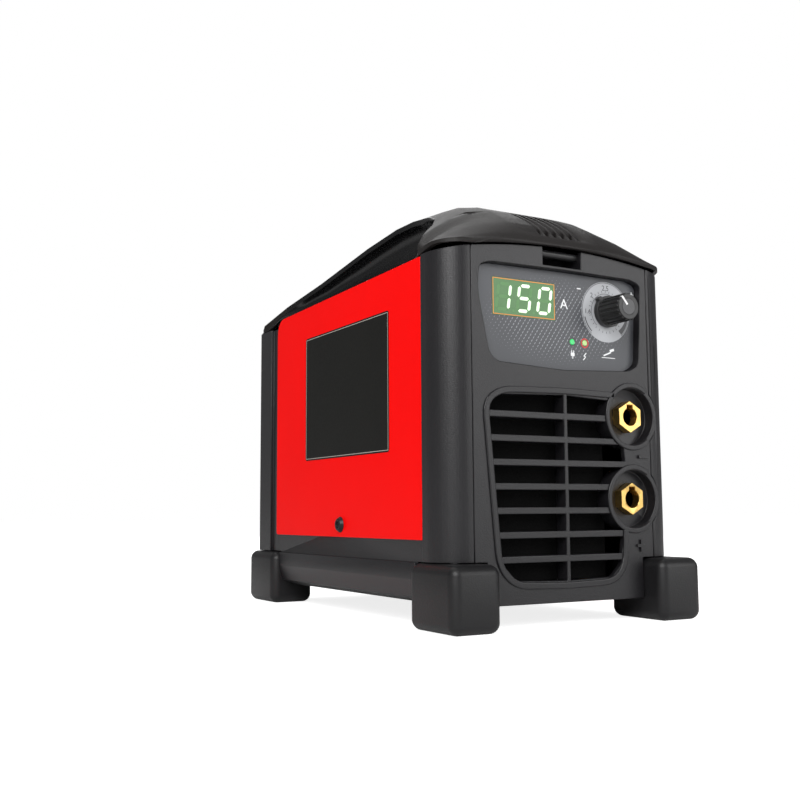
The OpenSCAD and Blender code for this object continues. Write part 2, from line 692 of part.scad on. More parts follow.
module current_knob() color([0.06, 0.06, 0.06]) difference() {
    h = knob_base_y - knob_tip_y;
    union() {
        knob_at(knob_base_y) cylinder(r = knob_r, h = knob_skirt);
        knob_at(knob_base_y) cylinder(r = knob_r - 1.8, h = h);
        for (i = [0:knob_ribs - 1]) knob_at(knob_base_y) rotate([0, 0, i * 360 / knob_ribs])
            translate([0, -0.5, knob_skirt - 0.1]) cube([knob_r - 1.1, 1, h - knob_skirt - 0.6]);
        knob_at(knob_base_y) rotate([0, 0, 135]) translate([0, -1.1, 0]) cube([knob_r + 1.2, 2.2, knob_skirt]);
    }
    knob_at(knob_base_y + 1) cylinder(r = shaft_r + pin_gap, h = h - 4);
    knob_at(knob_tip_y + cap_d) cylinder(r = cap_r + pin_gap, h = 3);
}

module knob_cap() color([0.5, 0.5, 0.52])
    knob_at(knob_tip_y + cap_d) cylinder(r = cap_r, h = cap_d);

module potentiometer_shaft() color(steel)
    knob_at(board_y - 3) cylinder(r = shaft_r, h = board_y - 3 - knob_tip_y - 5);

module potentiometer() color(steel) difference() {
    union() {
        knob_at(board_y) cylinder(r = 8, h = board_gap);
        knob_at(recess_back_y + 0.1) cylinder(r = shaft_r + 1.1, h = recess_floor_t + 0.5);
    }
    knob_at(board_y - 2) cylinder(r = shaft_r + pin_gap, h = board_gap + recess_floor_t + 2);
}

control_board_z0 = recess_top - 48;
control_board_z1 = recess_top - 2;
control_board_x = 47;
function spacer_places() = [[-40, recess_top - 40], [43, recess_top - 42], [-43, recess_top - 6], [4, recess_top - 5]];

module control_board() color(green_board) difference() {
    block(-control_board_x, control_board_x, board_y, board_y + board_t, control_board_z0, control_board_z1);
    for (p = spacer_places()) rod(p[0], p[1], board_y - 1, 4, 1.5);
}

module control_board_spacers() color(brass) for (p = spacer_places())
    difference() {
        rod(p[0], p[1], recess_back_y, board_gap, 2.5);
        rod(p[0], p[1], recess_back_y + 1, board_gap, 1.2);
    }

// ---------- welding sockets ----------

module socket(z) color(brass) difference() {
    union() {
        translate([socket_x, front_y + socket_recess_d, z]) rotate([90, 30, 0])
            cylinder(r = socket_hex_r, h = socket_recess_d - 1, $fn = 6);
        rod(socket_x, z, front_y + socket_recess_d - 1, 34 - socket_recess_d, socket_body_r);
        rod(socket_x, z, socket_face_y + 31.8, socket_len - 31.8, socket_tail_r);
    }
    rod(socket_x, z, socket_face_y - 1, socket_bore_l + 1, socket_bore_r);
    block(socket_x - key_w / 2, socket_x + key_w / 2, socket_face_y - 1, socket_face_y + 14, z, z + key_r);
}
module negative_socket() socket(socket_z[0]);
module positive_socket() socket(socket_z[1]);

nut_y = front_y + socket_recess_d + socket_wall;
module socket_nuts() color(steel) for (z = socket_z) difference() {
    translate([socket_x, nut_y, z]) rotate([-90, 30, 0]) cylinder(r = 11, h = 7, $fn = 6);
    rod(socket_x, z, nut_y - 1, 10, socket_body_r + pin_gap);
}

busbar_w = 14;
busbar_t = 3;
busbar_y = socket_face_y + 34;
module busbar(z, foot_x) color(copper) difference() {
    union() {
        block(socket_x - busbar_w / 2, socket_x + busbar_w / 2, busbar_y, busbar_y + busbar_t,
            z - busbar_w / 2 - 2, z + busbar_w / 2);
        block(socket_x - busbar_w / 2, socket_x + busbar_w / 2, busbar_y, power_board_y0 + 14,
            z - busbar_w / 2 - 2, z - busbar_w / 2 - 2 + busbar_t);
        block(foot_x - busbar_w / 2, socket_x + busbar_w / 2, power_board_y0 + 14 - busbar_t,
            power_board_y0 + 14, z - busbar_w / 2 - 2, z - busbar_w / 2 - 2 + busbar_t);
        block(foot_x - busbar_w / 2, foot_x + busbar_w / 2, power_board_y0 + 14 - busbar_t,
            power_board_y0 + 14, power_board_top, z - busbar_w / 2 - 2 + busbar_t);
    }
    rod(socket_x, z, busbar_y - 1, 6, socket_tail_r + pin_gap);
}
module negative_busbar() busbar(socket_z[0], socket_x - 18);
module positive_busbar() busbar(socket_z[1], socket_x);

// ---------- mains switch and cord gland ----------

switch_face_y = rear_panel_y + rear_panel_t + switch_flange;
rocker_axis_y = switch_face_y - 5;
module rocker_pin(r, l) translate([switch_x - l / 2, rocker_axis_y, rear_top_z]) rotate([0, 90, 0])
    cylinder(r = r, h = l);

module power_switch_housing() color(black) difference() {
    union() {
        block(switch_x - switch_w / 2, switch_x + switch_w / 2, switch_face_y - switch_flange, switch_face_y,
            rear_top_z - switch_h / 2, rear_top_z + switch_h / 2);
        block(switch_x - switch_body_w / 2, switch_x + switch_body_w / 2, switch_face_y - switch_body_d,
            switch_face_y - 1, rear_top_z - switch_body_h / 2, rear_top_z + switch_body_h / 2);
    }
    block(switch_x - rocker_w / 2 - rocker_gap, switch_x + rocker_w / 2 + rocker_gap, switch_face_y - 13,
        switch_face_y + 1, rear_top_z - rocker_l / 2 - 1.9, rear_top_z + rocker_l / 2 + 1.9);
    rocker_pin(rocker_pin_r + pin_gap, rocker_w + 4);
}

// The rocker rests on its off stop, its upper end pressed in
module power_switch_rocker() color([0.08, 0.3, 0.12]) {
    translate([switch_x - rocker_w / 2, rocker_axis_y, rear_top_z]) rotate([rocker_travel / 2, 0, 0])
        rotate([90, 0, 90]) linear_extrude(rocker_w)
            polygon([[-5, -4], [-5, 4], [3, rocker_l / 2], [7.6, rocker_l / 2], [6, 0], [7.6, -rocker_l / 2],
                [3, -rocker_l / 2]]);
    rocker_pin(rocker_pin_r, rocker_w + 3.6);
}

module cord_gland() color(black) difference() {
    y = rear_panel_y + rear_panel_t;
    union() {
        rod(gland_x, rear_top_z, rear_panel_y - 9, 12, gland_body_r);
        translate([gland_x, y, rear_top_z]) rotate([-90, 30, 0]) cylinder(r = gland_hex_r, h = 6, $fn = 6);
        translate([gland_x, y + 5.9, rear_top_z]) rotate([-90, 0, 0])
            cylinder(r1 = 9, r2 = 7, h = gland_nose - 5.9);
    }
    rod(gland_x, rear_top_z, rear_panel_y - 10, 60, gland_bore_r);
}

module gland_nut() color(black) difference() {
    translate([gland_x, rear_panel_y - 5, rear_top_z]) rotate([-90, 30, 0]) cylinder(r = 12, h = 5, $fn = 6);
    rod(gland_x, rear_top_z, rear_panel_y - 6, 10, gland_body_r + pin_gap);
}

// ---------- fan ----------

fan_y = rear_panel_y - fan_t;
blade_n = 7;
module fan_frame() color(black) difference() {
    union() {
        difference() {
            block(-fan_w / 2, fan_w / 2, fan_y, rear_panel_y, fan_z - fan_w / 2, fan_z + fan_w / 2);
            rod(0, fan_z, fan_y - 1, fan_t + 2, fan_r);
        }
        rod(0, fan_z, rear_panel_y - 4.5, 4, fan_hub_r);
        for (a = [45, 135, 225, 315]) translate([0, rear_panel_y - 4, fan_z]) rotate([0, a, 0])
            translate([0, 0, -2]) cube([fan_r + 1, 3, 4]);
    }
    rod(0, fan_z, rear_panel_y - 5, 4, 1.5 + pin_gap);
    for (x = [-1, 1], z = [-1, 1]) rod(x * fan_hole, fan_z + z * fan_hole, fan_y - 1, fan_t + 2, 2 + screw_gap);
}

module fan_rotor() color([0.1, 0.1, 0.1]) {
    rod(0, fan_z, fan_y + 1, fan_t - 6, fan_hub_r);
    rod(0, fan_z, rear_panel_y - 5.1, 3.6, 1.5);
    for (i = [0:blade_n - 1]) translate([0, fan_y + fan_t / 2 - 1, fan_z]) rotate([0, i * 360 / blade_n, 0])
        translate([fan_hub_r - 1, 0, 0]) rotate([38, 0, 0]) translate([0, -0.8, -11]) cube([fan_r - fan_hub_r - 2.2, 1.6, 22]);
}

module fan_screws() color(steel) for (x = [-1, 1], z = [-1, 1])
    rear_screw(x * fan_hole, fan_z + z * fan_hole, fan_t + rear_panel_t - 2, 2);

// ---------- power electronics ----------

function standoff_x() = power_board_x - 6;
function standoff_ys() = [power_board_y0 + 6, power_board_y1 - 6];

module power_board() color(green_board) difference() {
    block(-power_board_x, power_board_x, power_board_y0, power_board_y1, power_board_z, power_board_top);
    for (x = [-1, 1], y = standoff_ys()) translate([x * standoff_x(), y, power_board_z - 1])
        cylinder(r = 1.7, h = 4);
}

module board_standoffs() color(steel) for (x = [-1, 1], y = standoff_ys())
    difference() {
        translate([x * standoff_x(), y, floor_z]) cylinder(r = 3.2, h = power_board_z - floor_z);
        translate([x * standoff_x(), y, floor_z - 1]) cylinder(r = 1.2, h = power_board_z);
    }

// A finned extrusion standing on the board, its fins outwards
module heat_sink() color(steel) {
    block(sink_x, sink_x + sink_base, sink_y0, sink_y0 + sink_l, power_board_top, power_board_top + sink_h);
    for (i = [0:8])
        block(sink_x + sink_base - 0.1, sink_x + sink_w, sink_y0, sink_y0 + sink_l,
            power_board_top + i * (sink_h - 1.6) / 8, power_board_top + i * (sink_h - 1.6) / 8 + 1.6);
}
module secondary_heat_sink() heat_sink();
module primary_heat_sink() mirror([1, 0, 0]) heat_sink();

// Flat packages clamped to the inner face of a heat sink
module packages(n, l) for (i = [0:n - 1])
    block(sink_x - 5, sink_x, sink_y0 + 6 + i * sink_l / n, sink_y0 + 6 + i * sink_l / n + l,
        power_board_top + 12, power_board_top + 33);
module output_diodes() color([0.1, 0.1, 0.1]) packages(4, 12);
module switching_transistors() color([0.1, 0.1, 0.1]) mirror([1, 0, 0]) packages(4, 12);

core_x = 21;
core_y0 = sink_y0 + 14;
core_l = 36;
core_h = 38;
module transformer_core() color([0.25, 0.25, 0.27]) difference() {
    block(-core_x, core_x, core_y0, core_y0 + core_l, power_board_top, power_board_top + core_h);
    mirrored() block(7, core_x - 5, core_y0 - 1, core_y0 + core_l + 1, power_board_top + 7, power_board_top + core_h - 7);
}
module transformer_winding() color(copper) difference() {
    block(-core_x + 5.4, core_x - 5.4, core_y0 - 6, core_y0 + core_l + 6, power_board_top + 7.4, power_board_top + core_h - 7.4);
    block(-7.4, 7.4, core_y0 - 0.4, core_y0 + core_l + 0.4, power_board_top, power_board_top + core_h);
}

coil_x = -30;
coil_y = power_board_y0 + 18;
module inductor_core() color([0.3, 0.3, 0.25]) translate([coil_x, coil_y, power_board_top + 4])
    difference() {
        cylinder(r = 11.8, h = 12);
        translate([0, 0, -1]) cylinder(r = 6.6, h = 14);
    }
module inductor_winding() color(copper) translate([coil_x, coil_y, power_board_top])
    difference() {
        cylinder(r = 14, h = 20);
        translate([0, 0, 3.8]) difference() {
            cylinder(r = 12, h = 12.4);
            translate([0, 0, -1]) cylinder(r = 6.4, h = 15);
        }
        translate([0, 0, -1]) cylinder(r = 3.8, h = 22);
    }

cap_row_y = sink_y0 + sink_l - 16;
module bulk_capacitors() color([0.1, 0.12, 0.3]) for (x = [-12, 12])
    translate([x, cap_row_y, power_board_top]) {
        cylinder(r = 11, h = 42);
        cylinder(r = 10, h = 42.6);
    }
module bridge_rectifier() color([0.1, 0.1, 0.1])
    block(-15, 13, sink_y0 - 9, sink_y0 - 4, power_board_top, power_board_top + 24);
module filter_choke() color([0.6, 0.35, 0.15]) translate([0, power_board_y0 + 12, power_board_top + 11])
    rotate([0, 90, 0]) difference() {
        cylinder(r = 11, h = 9);
        translate([0, 0, -1]) cylinder(r = 5, h = 11);
    }
module soft_start_relay() color([0.85, 0.85, 0.82])
    block(-48, -28, power_board_y1 - 18, power_board_y1 - 2, power_board_top, power_board_top + 16);
module driver_card() color(green_board)
    block(-1, 0.6, core_y0 + core_l + 7, core_y0 + core_l + 7 + 12, power_board_top, power_board_top + 30);

ribbon_w = 22;
module ribbon_cable() color([0.6, 0.6, 0.6]) difference() {
    y0 = board_y + board_t;
    sideways(-46, ribbon_w) polygon([[y0, control_board_z0 + 8], [y0 + 1, control_board_z0 + 8],
        [y0 + 1, control_board_z0 + 1], [power_board_y0 + 1.6, power_board_top + 28],
        [power_board_y0 + 1.6, power_board_top], [power_board_y0 + 0.6, power_board_top],
        [power_board_y0 + 0.6, power_board_top + 27.7], [y0, control_board_z0 + 0.6]]);
}

front_panel();
front_left_column();
front_right_column();
base_tray();
left_side_panel();
right_side_panel();
side_panel_screws();
front_crossmember();
rear_crossmember();
top_cover();
top_cover_screws();
front_strap_bar();
rear_strap_bar();
rear_bezel();
rear_panel();
rear_panel_screws();
front_left_foot();
front_right_foot();
rear_left_foot();
rear_right_foot();
foot_screws();
control_overlay();
display_lens();
display_module();
power_lamp();
fault_lamp();
current_knob();
knob_cap();
potentiometer_shaft();
potentiometer();
control_board();
control_board_spacers();
negative_socket();
positive_socket();
socket_nuts();
negative_busbar();
positive_busbar();
power_switch_housing();
power_switch_rocker();
cord_gland();
gland_nut();
fan_frame();
fan_rotor();
fan_screws();
power_board();
board_standoffs();
primary_heat_sink();
secondary_heat_sink();
switching_transistors();
output_diodes();
bridge_rectifier();
bulk_capacitors();
transformer_core();
transformer_winding();
inductor_core();
inductor_winding();
filter_choke();
soft_start_relay();
driver_card();
ribbon_cable();
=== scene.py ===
import math

import bmesh
import bpy
from mathutils import Matrix, Vector


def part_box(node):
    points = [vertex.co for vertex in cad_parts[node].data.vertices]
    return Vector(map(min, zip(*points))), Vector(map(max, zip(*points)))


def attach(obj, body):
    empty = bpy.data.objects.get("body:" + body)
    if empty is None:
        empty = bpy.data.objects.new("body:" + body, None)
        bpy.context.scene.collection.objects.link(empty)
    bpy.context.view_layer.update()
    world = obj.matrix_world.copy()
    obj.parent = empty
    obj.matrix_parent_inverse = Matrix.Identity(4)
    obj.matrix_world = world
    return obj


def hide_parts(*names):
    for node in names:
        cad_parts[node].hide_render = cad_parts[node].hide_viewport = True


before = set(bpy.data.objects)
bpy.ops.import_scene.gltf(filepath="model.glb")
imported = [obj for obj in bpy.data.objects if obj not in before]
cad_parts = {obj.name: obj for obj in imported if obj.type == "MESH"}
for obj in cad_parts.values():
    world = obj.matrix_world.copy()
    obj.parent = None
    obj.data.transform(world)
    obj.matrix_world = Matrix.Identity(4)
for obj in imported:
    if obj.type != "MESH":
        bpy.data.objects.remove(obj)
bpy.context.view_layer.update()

# ---------------------------------------------------------------- front panel and corner columns
# The face of the machine is one injection moulding in black ABS with a fine spark-eroded grain. Its two
# corner columns are separate mouldings that clip to it along a seam, so all three share one finish.


def surface(name):
    material = bpy.data.materials.new(name)
    material.use_nodes = True
    tree = material.node_tree
    tree.nodes.clear()
    shader = tree.nodes.new("ShaderNodeBsdfPrincipled")
    tree.links.new(shader.outputs[0], tree.nodes.new("ShaderNodeOutputMaterial").inputs[0])
    return material, tree, shader, tree.nodes.new("ShaderNodeTexCoord").outputs["Object"]


def noise(tree, where, scale, detail=3.0, stretch=None):
    if stretch:
        mapping = tree.nodes.new("ShaderNodeMapping")
        mapping.inputs["Scale"].default_value = stretch
        tree.links.new(where, mapping.inputs["Vector"])
        where = mapping.outputs["Vector"]
    node = tree.nodes.new("ShaderNodeTexNoise")
    node.inputs["Scale"].default_value = scale
    node.inputs["Detail"].default_value = detail
    tree.links.new(where, node.inputs["Vector"])
    return node.outputs["Fac"]


def ramp(tree, factor, low, high, start=0.3, end=0.7):
    node = tree.nodes.new("ShaderNodeValToRGB")
    for stop, place, colour in zip(node.color_ramp.elements, (start, end), (low, high)):
        stop.position = place
        stop.color = (*colour, 1)
    tree.links.new(factor, node.inputs["Fac"])
    return node.outputs["Color"]


def moulded(name, colour, rough, grain=1500, depth=0.25, drift=0.12, stretch=None, **constants):
    """A plain finish with a fine grain in its relief and roughness and a slow drift in its colour."""
    material, tree, shader, where = surface(name)
    for socket, value in constants.items():
        shader.inputs[socket.replace("_", " ")].default_value = value
    fine = noise(tree, where, grain, stretch=stretch)
    bump = tree.nodes.new("ShaderNodeBump")
    bump.inputs["Strength"].default_value = depth
    bump.inputs["Distance"].default_value = 0.0002
    tree.links.new(fine, bump.inputs["Height"])
    tree.links.new(bump.outputs["Normal"], shader.inputs["Normal"])
    darker = [c * (1 - drift) for c in colour]
    lighter = [min(1, c * (1 + drift)) for c in colour]
    tree.links.new(ramp(tree, noise(tree, where, 22, 4), darker, lighter), shader.inputs["Base Color"])
    span = tree.nodes.new("ShaderNodeMapRange")
    span.inputs["To Min"].default_value = max(0.02, rough - 0.07)
    span.inputs["To Max"].default_value = min(1, rough + 0.07)
    tree.links.new(fine, span.inputs["Value"])
    tree.links.new(span.outputs["Result"], shader.inputs["Roughness"])
    return material


def eased(node, material, edge=0.0, body="casing", angle=32):
    """A welded copy of a CAD node with softened edges, standing for it."""
    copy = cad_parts[node].data.copy()
    copy.name = node + "_piece"
    work = bmesh.new()
    work.from_mesh(copy)
    bmesh.ops.remove_doubles(work, verts=work.verts, dist=2e-6)
    bmesh.ops.dissolve_limit(work, angle_limit=math.radians(0.3), verts=work.verts, edges=work.edges)
    work.to_mesh(copy)
    work.free()
    copy.materials.clear()
    copy.materials.append(material)
    piece = bpy.data.objects.new(copy.name, copy)
    bpy.context.scene.collection.objects.link(piece)
    copy.shade_smooth()
    copy.set_sharp_from_angle(angle=math.radians(angle))
    if edge:
        bevel = piece.modifiers.new("edge", "BEVEL")
        bevel.width = edge / 1000
        bevel.segments = 2
        bevel.limit_method = "ANGLE"
        bevel.angle_limit = math.radians(angle)
        bevel.use_clamp_overlap = False
    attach(piece, body)
    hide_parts(node)
    return piece


def slotted(piece):
    return piece


front_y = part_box("front_panel")[0][1] * 1000
black_grain = moulded("grained_black_abs", (0.0098, 0.0093, 0.0108), 0.37, 1700, 0.45, 0.1,
                      Specular_IOR_Level=0.46)
slotted(eased("front_panel", black_grain, 0.35))
for node in ("front_left_column", "front_right_column"):
    slotted(eased(node, black_grain, 0.3))

# ---------------------------------------------------------------- grille rim and socket rims
# The panel carries a low rounded rib that frames the grille and sweeps round each socket. It is moulded in
# one with the panel, and stands about a millimetre proud of it.


def prism(name, outlines, front, back, material, body="casing", axis="y"):
    """Flat printed or bonded shapes: each outline is a ring of mm points across the axis, front to back."""
    work = bmesh.new()
    for outline in outlines:
        rings = []
        for depth in (front, back):
            if axis == "y":
                rings.append([work.verts.new((a / 1000, depth / 1000, b / 1000)) for a, b in outline])
            else:
                rings.append([work.verts.new((depth / 1000, a / 1000, b / 1000)) for a, b in outline])
        work.faces.new(rings[0])
        work.faces.new(rings[1][::-1])
        for i in range(len(outline)):
            j = (i + 1) % len(outline)
            work.faces.new((rings[0][j], rings[0][i], rings[1][i], rings[1][j]))
    bmesh.ops.recalc_face_normals(work, faces=work.faces)
    mesh = bpy.data.meshes.new(name)
    work.to_mesh(mesh)
    work.free()
    mesh.materials.append(material)
    piece = bpy.data.objects.new(name, mesh)
    bpy.context.scene.collection.objects.link(piece)
    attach(piece, body)
    return piece


def rounded_box(a0, a1, b0, b1, r, n=5):
    ring = []
    for cx, cy, start in ((a1 - r, b1 - r, 0), (a0 + r, b1 - r, 90), (a0 + r, b0 + r, 180),
                          (a1 - r, b0 + r, 270)):
        for i in range(n + 1):
            t = math.radians(start + 90 * i / n)
            ring.append((cx + r * math.cos(t), cy + r * math.sin(t)))
    return ring


def bent(points, r):
    """The path with each inner corner eased over the distance r."""
    path = [Vector(points[0])]
    for before, here, after in zip(points, points[1:], points[2:]):
        before, here, after = Vector(before), Vector(here), Vector(after)
        a = here + (before - here).normalized() * min(r, (before - here).length * 0.48)
        b = here + (after - here).normalized() * min(r, (after - here).length * 0.48)
        path += [a * (1 - t) ** 2 + here * 2 * t * (1 - t) + b * t * t for t in (0, 0.25, 0.5, 0.75, 1)]
    return path + [Vector(points[-1])]


def band(path, w):
    """The outline of a strip of width w along a path."""
    left, right = [], []
    for i, here in enumerate(path):
        way = (path[min(i + 1, len(path) - 1)] - path[max(i - 1, 0)]).normalized()
        side = Vector((-way.y, way.x)) * w / 2
        left.append(tuple(here + side))
        right.append(tuple(here - side))
    return left + right[::-1]


def softened(piece, width):
    bevel = piece.modifiers.new("edge", "BEVEL")
    bevel.width, bevel.segments = width / 1000, 3
    bevel.limit_method, bevel.angle_limit = "ANGLE", math.radians(50)
    bevel.use_clamp_overlap = False


rib = bent([(36.6, 45.5), (35.6, 27.5), (28, 20.0), (0, 19.1), (-32, 20.0), (-41.2, 29), (-47.9, 106.5),
            (-39, 112.9),
            (0, 113.9), (31.2, 113.2)], 7)
socket_x = 42.6
rim_r = 16.1
rims = [band(rib, 3.2)]
for socket_z in (102.9, 60.9):
    turns = [math.radians(t) for t in range(139, 402, 6)]
    rims.append(band([Vector((socket_x + rim_r * math.sin(t),
                              socket_z + rim_r * math.cos(t))) for t in turns], 2.6))
for name, outline in zip(("grille_rim", "negative_socket_rim", "positive_socket_rim"), rims):
    softened(prism(name, [outline], front_y - 0.9, front_y + 0.4, black_grain), 0.6)

# ---------------------------------------------------------------- dark sheet behind the grille
# A flat black sheet stands against the back of the grille bars as painted shade. It makes the gaps between
# the bars read as plain black, as the shaded inside of the machine does.

grille_shade_black = moulded("painted_shade_behind_grille", (0.0035, 0.0035, 0.0035), 0.9, 1100, 0.9, 0.3,
                       Specular_IOR_Level=0.1)
prism("grille_shade_sheet", [[(-47, 21.5), (30, 21.5), (30, 112), (-47, 112)]], -102.9, -102.1, grille_shade_black)

# ---------------------------------------------------------------- base tray
# The lower shell is the same black ABS, drawn inwards under the side panels. It carries the board and is
# held to the columns and the rear bezel by the screws that pass up through the feet.

slotted(eased("base_tray", black_grain, 0.4))

# ---------------------------------------------------------------- side panels
# Each side is a folded sheet of steel, powder coated in a bright red satin. A wide black film is bonded to
# the middle of each one, with a pale keyline just inside its edge, and one black screw holds the foot.

red_satin = moulded("red_powder_coat", (0.95, 0.0012, 0.0012), 0.42, 900, 0.08, 0.02,
                    Specular_IOR_Level=0.06)
# The inner faces of the red sheets take a near-black finish. It is painted shade for the dark inside of the
# machine, seen through the grille.
inner_painted_shade = moulded("painted_shade_inner_face", (0.010, 0.010, 0.011), 0.6, 700, 0.1, 0.15)
for node, inward in (("left_side_panel", 1), ("right_side_panel", -1)):
    sheet = slotted(eased(node, red_satin, 0.25))
    sheet.data.materials.append(inner_painted_shade)
    for face in sheet.data.polygons:
        if face.normal[0] * inward > 0.6 and abs(face.center[0]) < 0.0705:
            face.material_index = 1


def frame_strips(a0, a1, b0, b1, w):
    return [[(a0, b0), (a1, b0), (a1, b0 + w), (a0, b0 + w)], [(a0, b1 - w), (a1, b1 - w), (a1, b1),
                                                               (a0, b1)],
            [(a0, b0 + w), (a0 + w, b0 + w), (a0 + w, b1 - w), (a0, b1 - w)],
            [(a1 - w, b0 + w), (a1, b0 + w), (a1, b1 - w), (a1 - w, b1 - w)]]


film = moulded("black_side_film", (0.0075, 0.0075, 0.0065), 0.45, 700, 0.05, 0.1, Specular_IOR_Level=0.15)
keyline = moulded("pale_keyline_ink", (0.42, 0.40, 0.36), 0.45, 900, 0.05, 0.05)
for side, node, word in ((-1, "left_side_panel", "left"), (1, "right_side_panel", "right")):
    low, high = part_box(node)
    skin = (low[0] if side < 0 else high[0]) * 1000
    prism(word + "_side_film", [rounded_box(-59.8, 41.8, 84.9, 157, 1.6)], skin + side * 0.12,
          skin - side * 0.3,
          film, axis="x")
    prism(word + "_side_keyline", frame_strips(-59.0, 41.0, 85.7, 156.2, 0.35), skin + side * 0.15,
          skin + side * 0.05, keyline, axis="x")

black_zinc = moulded("black_zinc_screws", (0.018, 0.018, 0.020), 0.34, 2200, 0.2, 0.1, Metallic=0.6)
slotted(eased("side_panel_screws", black_zinc, 0.25))

# ---------------------------------------------------------------- hood
# The hood is one deep moulding in a warm charcoal nylon with a soft matt grain. Its middle is the carrying
# spine. The two hollows for the fingers beside it are glossier and painted darker, as shade under the
# spine.

charcoal = moulded("charcoal_hood_nylon", (0.0135, 0.0118, 0.0114), 0.5, 1400, 0.4, 0.1,
                   Specular_IOR_Level=0.26)
scoop_shade = moulded("glossy_scoop_painted_shade", (0.006, 0.006, 0.0065), 0.26, 500, 0.04, 0.1, Specular_IOR_Level=0.4)
hood = slotted(eased("top_cover", charcoal, 0, angle=38))
hood.data.materials.append(scoop_shade)
casing_top = 182
half_width = 71
inset = [(20, 0), (22, 0), (26, 5), (35, 13), (42, 21), (53, 29), (75, 38), (93, 39), (108, 36.5),
         (133, 30.5),
         (178, 21), (208, 11), (213, 6), (219, 0), (225, 1.5)]
brow = [(22, 2), (26, 8), (35, 14), (42, 20), (53, 27), (75, 34.5), (93, 36.8), (108, 35.5), (133, 29),
        (178, 15.5), (208, 5), (219, -6.3)]


def along(table, s):
    for (s0, v0), (s1, v1) in zip(table, table[1:]):
        if s <= s1:
            return v0 + (v1 - v0) * max(0, min(1, (s - s0) / (s1 - s0)))
    return table[-1][1]


# The faces of the finger hollows, below the brow and inside the inset, take the darker finish: painted
# shade.
for face in hood.data.polygons:
    x, y, z = (c * 1000 for c in face.center)
    s = y - front_y
    undercut = 9
    if 24 < s < 212 and abs(x) > half_width - undercut - along(inset, s) \
            and z < casing_top + along(brow, s) - 0.25:
        face.material_index = 1
hood_screws = slotted(eased("top_cover_screws", black_zinc, 0.2))
hood_screws.data.transform(Matrix.Translation((0, 0, -0.0021)))

# ---------------------------------------------------------------- strap bars
# A short black steel bar crosses the notch at each end of the hood, for the hooks of a shoulder strap.

black_paint = moulded("black_painted_steel", (0.020, 0.020, 0.021), 0.38, 800, 0.12, 0.1)
for node in ("front_strap_bar", "rear_strap_bar"):
    slotted(eased(node, black_paint, 0))

# ---------------------------------------------------------------- rear bezel and rear panel
# The rear bezel is a deep black ABS frame. The pressed steel panel inside it is painted black and pierced
# with the fan's outlet slots, and four black screws hold it.

slotted(eased("rear_bezel", black_grain, 0.4))
slotted(eased("rear_panel", black_paint, 0.2))
for node in ("rear_panel_screws", "fan_screws"):
    slotted(eased(node, black_zinc, 0.2))

# ---------------------------------------------------------------- feet
# Four blocks of hard black polymer with generous round edges wrap the lower corners. Each is pulled up into
# its column or bezel by one plated screw from below.

foot_black = moulded("foot_black_polymer", (0.0078, 0.0075, 0.0083), 0.42, 1300, 0.35, 0.1,
                     Specular_IOR_Level=0.4)
for corner in ("front_left", "front_right", "rear_left", "rear_right"):
    slotted(eased(corner + "_foot", foot_black, 0, angle=50))
zinc = moulded("bright_zinc", (0.55, 0.55, 0.56), 0.33, 1800, 0.2, 0.06, Metallic=1.0)
slotted(eased("foot_screws", zinc, 0.2))

# ---------------------------------------------------------------- control overlay
# A printed polyester film covers the floor of the recess. It is mid grey, crossed by slanting rows of tiny
# pale dashes that thin out towards its edges, and carries white symbols for the lamps and the dial.

overlay_grey = moulded("printed_grey_film", (0.056, 0.059, 0.067), 0.40, 1200, 0.12, 0.08)
slotted(eased("control_overlay", overlay_grey, 0))
film_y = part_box("control_overlay")[0][1] * 1000
ink_white = moulded("white_ink", (0.78, 0.79, 0.80), 0.45, 1500, 0.05, 0.03)
ink_dark = moulded("dark_ink", (0.05, 0.05, 0.055), 0.45, 1500, 0.05, 0.05)
ink_pale = moulded("pale_dash_ink", (0.30, 0.31, 0.33), 0.45, 1500, 0.05, 0.05)


def recipe(name, **sizes):
    """An empty Geometry Nodes tree with its geometry output and one named input for each size."""
    tree = bpy.data.node_groups.new(name, "GeometryNodeTree")
    tree.interface.new_socket("Geometry", in_out="OUTPUT", socket_type="NodeSocketGeometry")
    kinds = {float: "NodeSocketFloat", int: "NodeSocketInt"}
    for key, value in sizes.items():
        tree.interface.new_socket(key, in_out="INPUT", socket_type=kinds[type(value)])
    return tree, tree.nodes.new("NodeGroupInput"), tree.nodes.new("NodeGroupOutput")


def wire(tree, *pairs):
    for source, target in pairs:
        tree.links.new(source, target)


def grown(name, tree, sizes, material, place, body):
    """Runs a tree on an empty mesh, moves the plain result to its place and rides it on its body."""
    mesh = bpy.data.meshes.new(name + "_seed")
    seed = bpy.data.objects.new(name + "_seed", mesh)
    bpy.context.scene.collection.objects.link(seed)
    modifier = seed.modifiers.new("grow", "NODES")
    modifier.node_group = tree
    for item in tree.interface.items_tree:
        if item.in_out == "INPUT":
            modifier[item.identifier] = sizes[item.name]
    for node in tree.nodes:
        if node.bl_idname == "GeometryNodeSetMaterial":
            node.inputs["Material"].default_value = material
    bpy.context.view_layer.update()
    result = bpy.data.meshes.new_from_object(seed.evaluated_get(bpy.context.evaluated_depsgraph_get()))
    seed.modifiers.clear()
    bpy.data.objects.remove(seed)
    result.name = name
    result.transform(place)
    piece = bpy.data.objects.new(name, result)
    bpy.context.scene.collection.objects.link(piece)
    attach(piece, body)
    return piece


